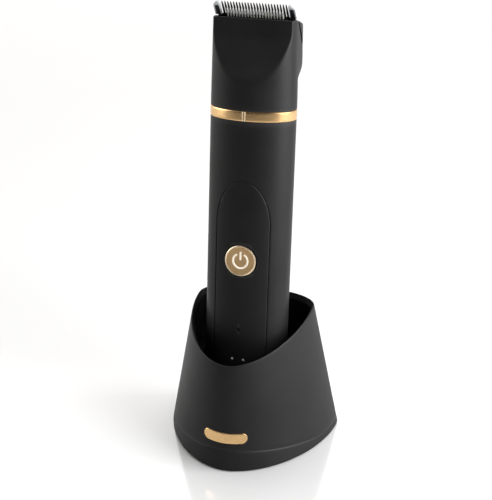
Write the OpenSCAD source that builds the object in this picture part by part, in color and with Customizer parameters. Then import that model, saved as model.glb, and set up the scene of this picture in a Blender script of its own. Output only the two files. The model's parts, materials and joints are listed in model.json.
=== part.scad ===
// Body groomer standing in its charging dock. Millimetres, Z up, front towards -Y.
// The origin is the centre of the dock's footprint, on the surface that it stands on.

/* [Handset] */
// Half of the handset's width
body_a = 19; // [17:0.5:21]
// Half of the handset's depth
body_b = 13.5; // [12.5:0.25:15]
// Wall of the handle shell
body_wall = 1.9; // [1.6:0.1:2.2]
// Distance along the handset axis to its flat bottom
cap_low = 28; // [27:0.5:29]
// Height of the bottom cap's outside band
cap_band = 4; // [3:0.5:5]
// Distance along the axis to the lower edge of the trim ring
ring_low = 152; // [151:0.5:153]
// Height of the trim ring
ring_h = 4.3; // [3:0.1:5]
// Lean of the handset away from upright
lean = 7; // [6:0.5:8]

/* [Front panel] */
// Half of the front panel's width
panel_half = 12; // [11:0.5:13]
// Where the panel's straight sides end and its arch begins
panel_shoulder = 105.6; // [103:0.2:108]
// Tip of the panel's arch
panel_top = 126; // [122:0.5:129]
// Centre of the power button along the axis
button_l = 90.2; // [86:0.2:95]
// Centre of the indicator dot along the axis
lens_l = 58; // [55:0.5:62]
// Centre of the two charge lights along the axis
lights_l = 43.8; // [43:0.2:48]
// Radius of the power button
button_r = 7.2; // [6.5:0.1:7.6]
// Travel of the power button
button_travel = 0.5; // [0.3:0.1:0.6]

/* [Head] */
// Top edge of the head's front face
head_top = 194.2; // [193:0.2:195]
// Half of the head's width at its top
head_top_a = 18.3; // [17.8:0.1:18.8]
// Lowest point of the front bevel
bevel_low = 168.5; // [167:0.5:170]

/* [Blades] */
// Number of teeth on the comb blade
comb_teeth = 23; // [17:2:27]
// Distance between neighbouring teeth
tooth_pitch = 1.27; // [1.1:0.01:1.4]
// Length of the comb blade from back edge to tooth tips
blade_len = 21.3; // [20.3:0.1:21.8]
// Sideways stroke of the cutter each way
cutter_stroke = 0.9; // [0.6:0.1:1.2]

/* [Dock] */
// Half-width of the dock at the floor
dock_a = 40; // [38:0.5:43]
// Depth of the dock in front of its widest line, at the floor
dock_front = 52.6; // [50:0.5:55]
// Depth of the dock behind its widest line, at the floor
dock_back = 12; // [11:0.5:13]
// Height of the seam between base and body
seam_z = 8.5; // [8:0.5:10]
// Height of the rim at the front
rim_front = 51; // [49:0.5:53]
// Height of the rim at the back
rim_back = 62.9; // [60:0.5:66]
// Wall of the dock body
dock_wall = 2; // [1.6:0.1:2.4]
// Top of the deck round the well
deck_z = 42; // [40:0.5:43]

/* [Hidden] */
$fn = 64;

axis_y = -1.85;
cap_top = cap_low + cap_band;
ring_top = ring_low + ring_h;
inner_a = body_a - body_wall;
inner_b = body_b - body_wall;
gap = 0.3;
fit = 0.05;

// Dock outline: widest line, and how each size changes with height
widest_y = 20.3;
widest_slope = -0.029;
side_slope = -0.1977;
front_slope = -0.1257;
back_slope = -0.013;
front_power = 1.8;
back_power = 2.37;
rim_crown = 6.5;
dock_facets = 96;
foot_h = 0.4;
base_floor = 2;
base_wall = 2.2;
dock_screw_at = [[30, 14], [20, -14]];
board_z = 12;
board_t = 1.6;
inlet_z = board_z + board_t + 1.7;

// Handset inside
shaft_r = 1;
motor_r = 9;
motor_low = 117;
motor_top = 142;
cam_low = 165;
cam_r = 3;
pin_r = 0.75;
pin_throw = cutter_stroke;
fork_low = 174;
contact_x = 6;
lights_x = 2.55;
cup_clear = 0.5;
cup_wall = 1.8;
cup_floor = 2;
cup_low = cap_low - 0.3 - cup_floor;
panel_t = 1.2;

// Blade frame: back edge of the comb blade's inner face, and its slope from the axis
blade_y = 8.3;
blade_l = 184.2;
blade_slope = 40.1;
seat_top = [-0.6, 194.2];
seat_low = [13.2, 174.1];
comb_t = 0.9;
cutter_t = 1.2;
hinge_y = 11.6;
hinge_l = 173.2;
hinge_r = 0.75;
blade_half = 18;
fork_half = pin_r + pin_throw + cutter_stroke + gap;
plunger_y = -10.65;

// ---- shared shapes ----
function spow(v, e) = sign(v) * pow(abs(v), e);

// One ring point: its own depth and power in front of and behind the line y
function oval_point(t, w, front, back, nf, nb, y, z) =
  let (s = sin(t), e = 2 / (s < 0 ? nf : nb), d = s < 0 ? front : back)
  [w * spow(cos(t), e), y + d * spow(s, e), z];

function dock_point(t, z, inset) = oval_point(t, dock_a + side_slope * z - inset,
  dock_front + front_slope * z - inset, dock_back + back_slope * z - inset,
  front_power, back_power, widest_y + widest_slope * z, z);

function dock_ring(z, inset) =
  [for (i = [0:dock_facets - 1]) dock_point(360 * i / dock_facets, z, inset)];

// Rim height at one turn angle, from the point's place between front and back
function rim_z(t) = let (mid = (rim_front + rim_back) / 2, y = dock_point(t, mid, 0)[1],
  y0 = dock_point(270, mid, 0)[1], y1 = dock_point(90, mid, 0)[1], s = (y - y0) / (y1 - y0))
  rim_front + (rim_back - rim_front) * s + rim_crown * s * (1 - s);

function rim_ring(drop, inset) =
  [for (i = [0:dock_facets - 1]) let (t = 360 * i / dock_facets) dock_point(t, rim_z(t) - drop, inset)];

function joined(rows) = [for (r = rows) each r];

function skin(rows, n, wrap) =
  let (m = len(rows))
  [for (j = [0:m - (wrap ? 1 : 2)], i = [0:n - 1])
    let (a = j * n + i, b = j * n + (i + 1) % n, k = (j + 1) % m, c = k * n + (i + 1) % n, d = k * n + i)
    each [[a, d, c], [a, c, b]]];

// Closed solid through a stack of rings
module solid_loft(rows) {
  n = len(rows[0]);
  m = len(rows);
  polyhedron(joined(rows), concat(skin(rows, n, false), [[for (i = [0:n - 1]) i]],
    [[for (i = [n - 1:-1:0]) (m - 1) * n + i]]));
}

// Closed wall through a loop of rings
module wall_loft(rows) {
  polyhedron(joined(rows), skin(rows, len(rows[0]), true));
}

module oval(a, b) { scale([1, b / a]) circle(r = a, $fn = 128); }

module oval_tube(a, b, wall, low, high) {
  translate([0, 0, low]) linear_extrude(high - low) difference() {
    oval(a, b);
    oval(a - wall, b - wall);
  }
}

module oval_bar(a, b, low, high) { translate([0, 0, low]) linear_extrude(high - low) oval(a, b); }

// The handset's own frame: Z runs along its axis
module tilted() { translate([0, axis_y, 0]) rotate([-lean, 0, 0]) children(); }

// The blade's own frame: Y runs to the tooth tips, Z points forwards and down
module blade_frame() {
  translate([0, blade_y, blade_l]) rotate([90 + blade_slope, 0, 0]) children();
}

// Round bar along Y from y0 to y1
module bar_y(r, y0, y1, x = 0, l = 0) {
  translate([x, y1, l]) rotate([90, 0, 0]) cylinder(r = r, h = y1 - y0);
}

module bar_x(r, half, y, l) { translate([-half, y, l]) rotate([0, 90, 0]) cylinder(r = r, h = 2 * half); }

module both_sides() { children(); mirror([1, 0, 0]) children(); }

// Front view of the panel, pushed through the handset's front half
module arch(half, tip, grow) {
  rotate([90, 0, 0]) linear_extrude(body_b + 5) {
    translate([-half, cap_top - 5]) square([2 * half, panel_shoulder - cap_top + 5]);
    translate([0, panel_shoulder]) scale([1, (tip - panel_shoulder) / half]) circle(r = half, $fn = 96);
  }
}

// ---- dock ----
module dock_post(h0, h1, r) {
  for (p = dock_screw_at) both_sides() translate([p[0], p[1], h0]) cylinder(r = r, h = h1 - h0);
}

module dock_shell() color("#1c1c1e") difference() {
  union() {
    wall_loft([dock_ring(seam_z, 0), rim_ring(0.7, 0), rim_ring(0.1, 0.4), rim_ring(0.1, dock_wall - 0.4),
      rim_ring(0.7, dock_wall), dock_ring(seam_z, dock_wall)]);
    intersection() {
      solid_loft([dock_ring(seam_z, 0.8), dock_ring(20, 0.8)]);
      union() {
        dock_post(seam_z, 20, 3);
        for (p = dock_screw_at) both_sides()
          translate([p[0], p[1], seam_z]) rotate([0, 0, p[1] < 0 ? -35 : 0]) translate([0, -1, 0])
            cube([10, 2, 20 - seam_z]);
      }
    }
  }
  dock_post(seam_z - 1, 17, 1.1);
  translate([-4.8, 20, inlet_z - 1.9]) cube([9.6, 20, 3.8]);
}

module dock_base() color("#19191b") difference() {
  union() {
    difference() {
      solid_loft([dock_ring(foot_h, 0.3), dock_ring(foot_h + 0.6, 0), dock_ring(seam_z, 0)]);
      solid_loft([dock_ring(foot_h + base_floor, base_wall), dock_ring(seam_z + 1, base_wall)]);
    }
    dock_post(foot_h + 0.5, seam_z, 3.2);
    both_sides() translate([10, 20, foot_h + 0.5]) cylinder(r = 2, h = board_z - foot_h - 0.5);
  }
  dock_post(0, seam_z + 1, 1.3);
  dock_post(0, foot_h + 2.4, 2.6);
}

module foot_pad() color("#2a2a2c") linear_extrude(foot_h)
  polygon([for (p = dock_ring(0, 2.2)) [p[0], p[1]]]);

module dock_screws() color("silver") {
  dock_post(foot_h + 0.5, foot_h + 2.3, 2.4);
  dock_post(foot_h + 2.3, 16, 1.05);
}

module ballast_plate() color("dimgray")
  translate([0, -6, foot_h + base_floor]) linear_extrude(3.6) oval(15.5, 17);

module cradle() color("#101011") difference() {
  union() {
    solid_loft([dock_ring(deck_z - 2, dock_wall + gap), dock_ring(deck_z, dock_wall + gap)]);
    intersection() {
      tilted() oval_bar(body_a + cup_clear + cup_wall, body_b + cup_clear + cup_wall, cup_low, deck_z + 8);
      translate([-50, -50, 0]) cube([100, 100, deck_z - 1]);
    }
  }
  tilted() oval_bar(body_a + cup_clear, body_b + cup_clear, cup_low + cup_floor, deck_z + 20);
  tilted() both_sides() translate([contact_x, 0, cup_low - 1]) cylinder(r = 1.2, h = 5);
}

module dock_board() color("darkgreen") difference() {
  union() {
    translate([-14, 11, board_z]) cube([28, 17.2, board_t]);
    translate([-9, 14, board_z + board_t]) cube([5, 5, 1.4]);
    translate([5, 15, board_z + board_t]) cylinder(r = 2, h = 4);
  }
  both_sides() translate([10, 20, board_z - 1]) cylinder(r = 0.8, h = 4);
}

module usb_inlet() color("silver") difference() {
  translate([-4.45, 22.4, inlet_z - 1.6]) cube([8.9, 8.2, 3.2]);
  translate([-4.15, 24, inlet_z - 1.3]) cube([8.3, 8, 2.6]);
}

module contact_block() color("#202022") tilted() difference() {
  translate([-10, -4, cup_low - 6]) cube([20, 8, 6]);
  both_sides() translate([contact_x, 0, cup_low - 5]) cylinder(r = 1.9, h = 6);
}

module contact_pin(side) color("goldenrod") tilted() translate([side * contact_x, 0, 0]) {
  translate([0, 0, cup_low - 2]) cylinder(r = 1.5, h = 1.2);
  translate([0, 0, cup_low - 0.8]) cylinder(r = 0.85, h = cap_low - fit - cup_low + 0.8);
}
module contact_pin_left() { contact_pin(-1); }
module contact_pin_right() { contact_pin(1); }

// Plain raised pill on the front of the dock
module dock_badge() color("#d9b27c") {
  z = 16.5;
  y = dock_point(270, z, 0)[1];
  intersection() {
    difference() {
      solid_loft([dock_ring(z - 6, -0.25), dock_ring(z + 6, -0.25)]);
      solid_loft([dock_ring(z - 7, -0.02), dock_ring(z + 7, -0.02)]);
    }
    translate([0, y + 12, z]) rotate([90, 0, 0]) linear_extrude(30) {
      both_sides() translate([7.6, 0]) circle(r = 2.5);
      square([15.2, 5], center = true);
    }
  }
}

// ---- handset ----
module handle_shell() color("#1d1d1f") tilted() difference() {
  oval_bar(body_a, body_b, cap_top, ring_low);
  oval_bar(inner_a, inner_b, cap_top - 1, ring_low + 1);
  difference() {
    arch(panel_half + 0.15, panel_top + 0.15);
    oval_bar(body_a - panel_t - 0.1, body_b - panel_t - 0.1, 0, ring_low);
  }
  bar_y(button_r + 0.5, -30, 0, 0, button_l);
  bar_y(1.05, -30, 0, 0, lens_l);
  both_sides() bar_y(0.65, -30, 0, lights_x, lights_l);
}

module front_panel() color("#161618") tilted() difference() {
  intersection() {
    oval_bar(body_a, body_b, cap_top, ring_low);
    arch(panel_half, panel_top);
  }
  oval_bar(body_a - panel_t, body_b - panel_t, 0, ring_low);
  bar_y(button_r + gap, -30, 0, 0, button_l);
  bar_y(1.05, -30, 0, 0, lens_l);
  both_sides() bar_y(0.65, -30, 0, lights_x, lights_l);
}

module bottom_cap() color("#1b1b1d") tilted() difference() {
  union() {
    oval_bar(body_a - 0.6, body_b - 0.6, cap_low, cap_low + 0.6);
    oval_bar(body_a, body_b, cap_low + 0.6, cap_top);
    oval_bar(inner_a - 0.1, inner_b - 0.1, cap_top, cap_top + 5);
  }
  oval_bar(inner_a - 1.9, inner_b - 1.9, cap_low + 2, cap_top + 6);
  oval_tube(inner_a, inner_b, 1, cap_top + 1.6, cap_top + 3);
  both_sides() translate([contact_x, 0, cap_low - 1]) cylinder(r = 2, h = 5);
  both_sides() translate([12.5, 0, cap_low - 1]) cylinder(r = 1, h = 5);
}

module cap_seal() color("#303033") tilted()
  oval_tube(inner_a - 0.02, inner_b - 0.02, 0.9, cap_top + 1.65, cap_top + 2.95);

module cap_screws() color("silver") tilted() both_sides() {
  translate([12.5, 0, cap_low + 0.2]) cylinder(r = 0.98, h = 10);
}

module charge_pads() color("goldenrod") tilted() both_sides() {
  translate([contact_x, 0, cap_low]) cylinder(r = 1.98, h = 1.2);
  translate([contact_x, 0, cap_low + 1.2]) cylinder(r = 0.9, h = 5);
}

// Ladder that carries battery, board and motor
module chassis() color("#39393c") tilted() difference() {
  intersection() {
    oval_bar(inner_a - 0.2, inner_b - 0.2, cap_low + 9, motor_top - 3);
    union() {
      both_sides() translate([10.6, -8, 0]) cube([2, 16, ring_low]);
      for (l = [cap_low + 10, 113]) translate([-14, -8, l]) cube([28, 18, 2]);
      both_sides() translate([12.5, 0, cap_low + 9]) cylinder(r = 3, h = 9);
    }
  }
  both_sides() translate([12.5, 0, cap_low + 5]) cylinder(r = 1.02, h = 9);
}

module battery() color("#2f6f9f") tilted() {
  translate([0, 1.3, 42]) cylinder(r = 9, h = 65);
  translate([0, 1.3, 107]) cylinder(r = 3, h = 1.2);
}

module control_board() color("darkgreen") tilted() {
  translate([-7.5, -9.3, 43]) cube([15, 1, 68]);
  translate([-3, -10.3, 72]) cube([6, 1, 6]);
  for (l = [51, 55, 66, 101]) translate([-5, -9.9, l]) cube([3, 0.6, 1.6]);
}

module tact_switch() color("silver") tilted() {
  translate([-3, -10.3, button_l - 3]) cube([6, 1, 6]);
  bar_y(1.6, plunger_y, -10.3, 0, button_l);
}

module indicator_lens() color("#303238") tilted() bar_y(1, -body_b + 0.05, -9.3, 0, lens_l);

module status_lights() color("#c9c9c4") tilted() both_sides()
  bar_y(0.6, -body_b + 0.15, -9.3, lights_x, lights_l);

module button_seal() color("#333336") tilted() difference() {
  bar_y(button_r, -11.5, -10.9, 0, button_l);
  bar_y(2.3, -20, 0, 0, button_l);
}

module power_button() color("#b48a5a") tilted() {
  bar_y(button_r, -body_b - 0.25, -body_b + 0.95, 0, button_l);
  bar_y(2, -body_b + 0.95, plunger_y - button_travel - fit, 0, button_l);
}

module power_symbol() color("#f3e6d2") tilted()
  translate([0, -body_b - 0.25, button_l]) rotate([90, 0, 0]) linear_extrude(0.12) {
    difference() {
      circle(r = 3.6);
      circle(r = 2.9);
      polygon([[0, 0], [-3.2, 5], [3.2, 5]]);
    }
    translate([-0.35, 0.6]) square([0.7, 3.6]);
  }

module motor() color("#9a9a9e") tilted() difference() {
  union() {
    translate([0, 0, motor_low]) cylinder(r = motor_r, h = motor_top - motor_low);
    translate([0, 0, motor_top]) cylinder(r = 3, h = 1.6);
    both_sides() translate([4.5, 0, motor_low - 2]) cylinder(r = 0.8, h = 3);
  }
  translate([0, 0, motor_low + 2]) cylinder(r = shaft_r + gap, h = 40);
  both_sides() translate([6, 0, motor_top - 4]) cylinder(r = 0.8, h = 8);
}

module motor_mount() color("#404044") tilted() difference() {
  oval_bar(inner_a - 0.2, inner_b - 0.2, motor_top, motor_top + 2.5);
  translate([0, 0, motor_top - 1]) cylinder(r = 3.05, h = 5);
  both_sides() translate([6, 0, motor_top - 1]) cylinder(r = 0.85, h = 5);
}

module motor_screws() color("silver") tilted() both_sides() {
  translate([6, 0, motor_top - 3]) cylinder(r = 0.78, h = 5.5);
  translate([6, 0, motor_top + 2.5]) cylinder(r = 1.5, h = 1);
}

module motor_shaft() color("silver") tilted()
  translate([0, 0, motor_low + 3]) cylinder(r = shaft_r, h = cam_low + 3 - motor_low - 3);

module shaft_seal() color("#303033") tilted() difference() {
  translate([0, 0, ring_low]) cylinder(r = 5, h = 2);
  translate([0, 0, ring_low - 1]) cylinder(r = shaft_r + gap, h = 5);
}

// Hub on the motor shaft with its off-centre drive pin
module eccentric_cam() color("#c8c8c2") tilted() {
  difference() {
    translate([0, 0, cam_low]) cylinder(r = cam_r, h = 6);
    translate([0, 0, cam_low - 1]) cylinder(r = shaft_r, h = 4);
  }
  translate([0, -pin_throw, cam_low + 6]) cylinder(r = pin_r, h = fork_low + 2 - cam_low - 6);
}

module trim_ring() color("#d6a76d") tilted() {
  difference() {
    oval_bar(body_a + 0.12, body_b + 0.12, ring_low, ring_top);
    translate([0, 0, ring_low - 1]) cylinder(r = 5.05, h = ring_h + 2);
    difference() {
      oval_bar(inner_a - 0.2, inner_b - 0.2, ring_low + 2, ring_top + 1);
      translate([0, 0, ring_low]) cylinder(r = 7, h = 3.4);
    }
  }
  translate([-1.1, -body_b - 0.5, ring_low]) cube([1.5, 1, ring_h]);
}

module head_seal() color("#303033") tilted()
  oval_tube(inner_a - 0.3, inner_b - 0.3, 1.2, ring_low + 2, ring_top);

// Head outline at one height; the back grows boxier above box_low, where the blade module sits
box_low = 169;
box_high = 175.5;
head_levels = [ring_top, 162, 167, 169, 170.5, 172, 173.5, 175.5, 182, 188, head_top];
function part_way(v, low, high) = min(1, max(0, (v - low) / (high - low)));
function head_ring(l, inset) = let (s = part_way(l, ring_top + 4, head_top),
  q = part_way(l, box_low, box_high), k = q * q * (3 - 2 * q),
  w = body_a + (head_top_a - body_a) * s - inset, b = body_b + 0.5 * k - inset)
  [for (i = [0:71]) oval_point(5 * i, w, body_b - inset, b, 2 + 0.4 * s, 2 + 4 * k, 0, l)];

module head_form(inset, drop) {
  solid_loft([for (l = head_levels) head_ring(l - (l == ring_top ? drop : 0), inset)]);
}

// Side outline in Y and Z, pushed through the whole width
module side_cut(points, half = 30) {
  rotate([90, 0, 90]) translate([0, 0, -half]) linear_extrude(2 * half) polygon(points);
}

// Everything behind the slanted seat of the blade module
module behind_seat() {
  side_cut([seat_top, seat_low, [30, seat_low[1]], [30, 215], [seat_top[0], 215]]);
}

module in_front_of_bevel(inset) {
  side_cut([[-body_b + inset, 100], [-body_b + inset, bevel_low + inset], [-5.8 + inset, 187.5],
    [-5.5 + inset, 215], [-40, 215], [-40, 100]]);
}

module head_shell() color("#1b1b1d") tilted() difference() {
  head_form(0, 0);
  in_front_of_bevel(0);
  difference() {
    head_form(1.8, 1);
    in_front_of_bevel(1.8);
  }
  translate([0, 0, head_top - 1.9]) side_cut([[-3.7, 0], [0, 0], [0, 5], [-3.7, 5]], 16.2);
  behind_seat();
  bar_x(2.6, 10.3, hinge_y, hinge_l);
  bar_x(hinge_r + 0.01, 11.7, hinge_y, hinge_l);
}

module hinge_pin() color("silver") tilted() bar_x(hinge_r, 11.6, hinge_y, hinge_l);

// Rear cover that holds the blades and swings on the hinge pin
module blade_carrier() color("#151517") tilted() difference() {
  union() {
    intersection() {
      side_cut([[12.72, 175.3], [0, 193.8], [2.4, 193.5], [8.6, 191.8], [12.6, 184], [14.1, 177.5],
        [14.1, 175.3]]);
      head_form(0.05, 0);
    }
    bar_x(2, 10, hinge_y, hinge_l);
    translate([-10, hinge_y, hinge_l - 1]) cube([20, 1.9, 5]);
  }
  bar_x(hinge_r + fit, 20, hinge_y, hinge_l);
  blade_frame() translate([-30, -0.3, -comb_t - 0.02]) cube([60, 30, 20]);
  blade_frame() both_sides() translate([9, 3, -4]) cylinder(r = 1.06, h = 5);
}

// Comb outline: a bar with tapered teeth along its front edge
module comb_outline(count, pitch, root, tip, half, back, w0, w1) {
  translate([-half, back]) square([2 * half, root - back]);
  for (k = [0:count - 1]) translate([(k - (count - 1) / 2) * pitch, 0])
    polygon([[-w0 / 2, root - 0.2], [w0 / 2, root - 0.2], [w1 / 2, tip], [-w1 / 2, tip]]);
}

module comb_blade() color("#8b8d92") tilted() blade_frame() difference() {
  translate([0, 0, -comb_t]) linear_extrude(comb_t)
    comb_outline(comb_teeth, tooth_pitch, blade_len - 7.5, blade_len, 17, 0, 0.92, 0.26);
  both_sides() translate([9, 3, -5]) cylinder(r = 1.1, h = 10);
}

module blade_guards() color("#b9bbbd") tilted() blade_frame() both_sides()
  translate([0, 0, -comb_t]) linear_extrude(comb_t + 0.5) difference() {
    union() {
      translate([14.95, blade_len - 7.45]) square([blade_half - 14.95, 4.9]);
      translate([blade_half - 2.35, blade_len - 2.6]) circle(r = 2.35);
    }
    square([14.95, 40]);
  }

module blade_screws() color("silver") tilted() blade_frame() both_sides() {
  translate([9, 3, -3]) cylinder(r = 1.05, h = 3);
  translate([9, 3, 0]) cylinder(r = 1.9, h = 0.9);
}

module moving_cutter() color("#dcdcd8") tilted() blade_frame()
  translate([0, 0, fit]) linear_extrude(cutter_t)
    comb_outline(20, tooth_pitch, blade_len - 7.3, blade_len - 3.2, 13.6, 6.5, 0.7, 0.4);

// Fork that the drive pin moves from side to side
module cutter_follower() color("#e8e8e4") tilted() {
  blade_frame() translate([-6, 6, cutter_t + fit]) cube([12, 6, 1.8]);
  translate([-5.4, 0.9, 183]) cube([10.8, 3.1, 4.4]);
  translate([-5.4, 2.2, fork_low - 1.5]) cube([10.8, 1.8, 12]);
  both_sides() translate([fork_half, -3, fork_low - 1.5]) cube([5.4 - fork_half, 6, 2.5]);
}

// Bent wire that presses the cutter against the comb
module blade_spring() color("silver") tilted() blade_frame() both_sides() {
  translate([9, 3, 0.9]) cylinder(r = 1.5, h = 0.8);
  translate([8.6, 3, cutter_t + 2 * fit]) cube([0.8, 6, 0.4]);
}

dock_shell();
dock_base();
foot_pad();
dock_screws();
ballast_plate();
cradle();
dock_board();
usb_inlet();
contact_block();
dock_badge();
contact_pin_left();
contact_pin_right();
handle_shell();
front_panel();
bottom_cap();
cap_seal();
cap_screws();
charge_pads();
chassis();
battery();
control_board();
tact_switch();
indicator_lens();
status_lights();
button_seal();
power_button();
power_symbol();
motor();
motor_mount();
motor_screws();
motor_shaft();
shaft_seal();
eccentric_cam();
trim_ring();
head_seal();
head_shell();
hinge_pin();
blade_carrier();
comb_blade();
blade_guards();
blade_screws();
blade_spring();
moving_cutter();
cutter_follower();
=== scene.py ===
import json
import math

import bmesh
import bpy
from mathutils import Matrix, Vector


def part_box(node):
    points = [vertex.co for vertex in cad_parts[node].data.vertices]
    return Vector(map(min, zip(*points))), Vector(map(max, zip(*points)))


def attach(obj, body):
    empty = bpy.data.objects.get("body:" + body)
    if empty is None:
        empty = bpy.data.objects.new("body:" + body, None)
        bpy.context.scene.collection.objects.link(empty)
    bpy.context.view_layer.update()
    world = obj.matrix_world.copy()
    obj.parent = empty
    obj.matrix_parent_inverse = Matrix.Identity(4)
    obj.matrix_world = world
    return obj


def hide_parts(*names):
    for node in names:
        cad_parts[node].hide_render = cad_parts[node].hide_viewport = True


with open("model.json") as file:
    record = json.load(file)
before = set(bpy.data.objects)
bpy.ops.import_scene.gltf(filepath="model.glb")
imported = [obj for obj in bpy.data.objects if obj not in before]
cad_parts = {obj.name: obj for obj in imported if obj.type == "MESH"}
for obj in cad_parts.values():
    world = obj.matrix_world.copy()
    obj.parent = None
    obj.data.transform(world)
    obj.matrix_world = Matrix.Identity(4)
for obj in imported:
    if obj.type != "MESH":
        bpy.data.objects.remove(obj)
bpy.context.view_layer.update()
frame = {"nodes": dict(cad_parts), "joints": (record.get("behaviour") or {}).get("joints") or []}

MM = 0.001
JOINTS = {j["name"]: j for j in frame["joints"]}


def box_mm(node):
    """Lowest and highest corner of a CAD node, in millimetres."""
    lo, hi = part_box(node)
    return lo / MM, hi / MM


# ---- frames ----
# Handset: l runs up its axis, y is to the back. Its axis comes from the lift joint and the motor shaft.
UP = Vector(JOINTS["handset_lift"]["axis"])
BACK = Vector((0, UP.z, -UP.y))
SHAFT_MID_L = 144
_lo, _hi = box_mm("motor_shaft")
ORIGIN = (_lo + _hi) / 2 - UP * SHAFT_MID_L
TILT = math.atan2(UP.y, UP.z)

# Blades: u runs along the teeth, v stands on the plate. Their frame has this place and turn on the handset.
BLADE_Y, BLADE_L, BLADE_TURN = 8.3, 184.2, math.radians(130.1)


def hand(x, y, l):
    """Point of the handset's frame."""
    p = ORIGIN + BACK * y + UP * l
    return (x + p.x, p.y, p.z)


def blade(x, u, v):
    """Point of the blades' frame."""
    c, s = math.cos(BLADE_TURN), math.sin(BLADE_TURN)
    return hand(x, BLADE_Y + u * c - v * s, BLADE_L + u * s + v * c)


# ---- mesh building ----
def spow(v, e):
    """Power that keeps the sign."""
    return math.copysign(abs(v) ** e, v)


def steps(a, b, n):
    """n + 1 even values from a to b."""
    return [a + (b - a) * i / n for i in range(n + 1)]


def arc(n):
    """n + 1 pairs (1 - cos, 1 - sin) over a quarter turn, for rounding an edge."""
    return [(1 - math.cos(t), 1 - math.sin(t)) for t in steps(0, math.pi / 2, n)]


def tidy_loop(ids):
    """A face's corners without repeats, or none if it has collapsed."""
    out = [v for k, v in enumerate(ids) if v != ids[k - 1]]
    return out if len(set(out)) == len(out) and len(out) > 2 else []


def loop_mesh(rows, wrap=False):
    """Points and faces over a stack of closed loops of equal length. Points that coincide are joined, and
    faces that fold onto each other are left out. The stack is capped, or with wrap joined into a tube."""
    index, points = {}, []

    def vid(p):
        key = tuple(round(c, 4) + 0.0 for c in p)
        if key not in index:
            index[key] = len(points)
            points.append(key)
        return index[key]

    ids = [[vid(p) for p in row] for row in rows]
    n, m = len(ids[0]), len(ids)
    faces = []
    for j in range(m if wrap else m - 1):
        a, b = ids[j], ids[(j + 1) % m]
        for i in range(n):
            k = (i + 1) % n
            faces.append(tidy_loop([a[i], a[k], b[k], b[i]]))
    if not wrap:
        faces += [tidy_loop(ids[0]), tidy_loop(ids[-1])]
    seen = {}
    for f in faces:
        if f:
            seen.setdefault(tuple(sorted(f)), []).append(f)
    return points, [fs[0] for fs in seen.values() if len(fs) % 2]


def mesh_object(name, parts):
    """One object from several (points, faces) parts, in metres, with outward normals."""
    points, faces = [], []
    for ps, fs in parts:
        faces += [[v + len(points) for v in f] for f in fs]
        points += ps
    mesh = bpy.data.meshes.new(name)
    mesh.from_pydata([tuple(c * MM for c in p) for p in points], [], faces)
    obj = bpy.data.objects.new(name, mesh)
    bpy.context.scene.collection.objects.link(obj)
    clean(obj)
    return obj


def clean(obj, join=2e-7):
    """Joins points that coincide, drops loose ones and turns the normals outwards."""
    bm = bmesh.new()
    bm.from_mesh(obj.data)
    bmesh.ops.remove_doubles(bm, verts=bm.verts, dist=join)
    bmesh.ops.dissolve_degenerate(bm, edges=bm.edges, dist=join)
    loose = [v for v in bm.verts if not v.link_faces]
    bmesh.ops.delete(bm, geom=loose, context="VERTS")
    bmesh.ops.recalc_face_normals(bm, faces=bm.faces)
    bm.to_mesh(obj.data)
    bm.free()


def apply_modifiers(obj):
    """Gives the object its modified mesh."""
    dg = bpy.context.evaluated_depsgraph_get()
    mesh = bpy.data.meshes.new_from_object(obj.evaluated_get(dg))
    obj.modifiers.clear()
    obj.data = mesh


def boolean(obj, parts, operation="DIFFERENCE"):
    """Cuts the closed parts from obj, or joins or intersects them with it."""
    tool = mesh_object("tool", parts)
    mod = obj.modifiers.new("cut", "BOOLEAN")
    mod.operation, mod.solver, mod.object = operation, "EXACT", tool
    apply_modifiers(obj)
    bpy.data.objects.remove(tool)
    clean(obj)


def bevel(obj, width, segments=2, angle=35):
    """Rounds the edges that are sharper than angle degrees."""
    mod = obj.modifiers.new("bevel", "BEVEL")
    mod.width, mod.segments, mod.limit_method = width * MM, segments, "ANGLE"
    mod.angle_limit = math.radians(angle)
    apply_modifiers(obj)
    clean(obj)


def shade(obj, angle):
    """Smooth shading, with edges sharper than angle degrees kept."""
    obj.data.polygons.foreach_set("use_smooth", [True] * len(obj.data.polygons))
    obj.data.set_sharp_from_angle(angle=math.radians(angle))


def piece(obj, body, slot, stands_for=(), angle=32, look=None):
    """Shades a finished piece and puts it on its body, its material slot and the CAD nodes it stands for."""
    shade(obj, angle)
    obj.data.materials.clear()
    obj.data.materials.append(MATERIALS[look or slot])
    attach(obj, body)
    if stands_for:
        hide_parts(*stands_for)


def prism(outline, to_row, h0, h1):
    """Closed prism: an outline of (a, b) pairs pushed from h0 to h1. to_row turns (a, b, h) into a point."""
    return loop_mesh([[to_row(a, b, h) for a, b in outline] for h in (h0, h1)])


def side_prism(outline, half):
    """Prism across the handset's width from an outline in (y, l)."""
    return prism(outline, lambda y, l, h: hand(h, y, l), -half, half)


def circle(r, n, a=0.0, b=0.0):
    return [(a + r * math.cos(2 * math.pi * i / n), b + r * math.sin(2 * math.pi * i / n)) for i in range(n)]


def lathe(profile, to_row, n):
    """Closed solid turned about an axis; profile is (radius, height) pairs from one end cap to the other."""
    return loop_mesh([[to_row(a, b, h) for a, b in circle(r, n)] for r, h in profile])


def rounded(corners, n=6):
    """Outline with rounded corners from (a, b, radius) corners."""
    out = []
    for i, (a, b, r) in enumerate(corners):
        p = Vector((a, b))
        to_last = (Vector(corners[i - 1][:2]) - p).normalized()
        to_next = (Vector(corners[(i + 1) % len(corners)][:2]) - p).normalized()
        half = to_last.angle(to_next) / 2
        if r <= 0:
            out.append((a, b))
            continue
        back = r / math.tan(half)
        centre = p + (to_last + to_next).normalized() * (r / math.sin(half))
        start, end = p + to_last * back - centre, p + to_next * back - centre
        turn = start.angle_signed(end)
        for k in range(n + 1):
            q = centre + Matrix.Rotation(-turn * k / n, 2) @ start
            out.append((q.x, q.y))
    return out


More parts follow.
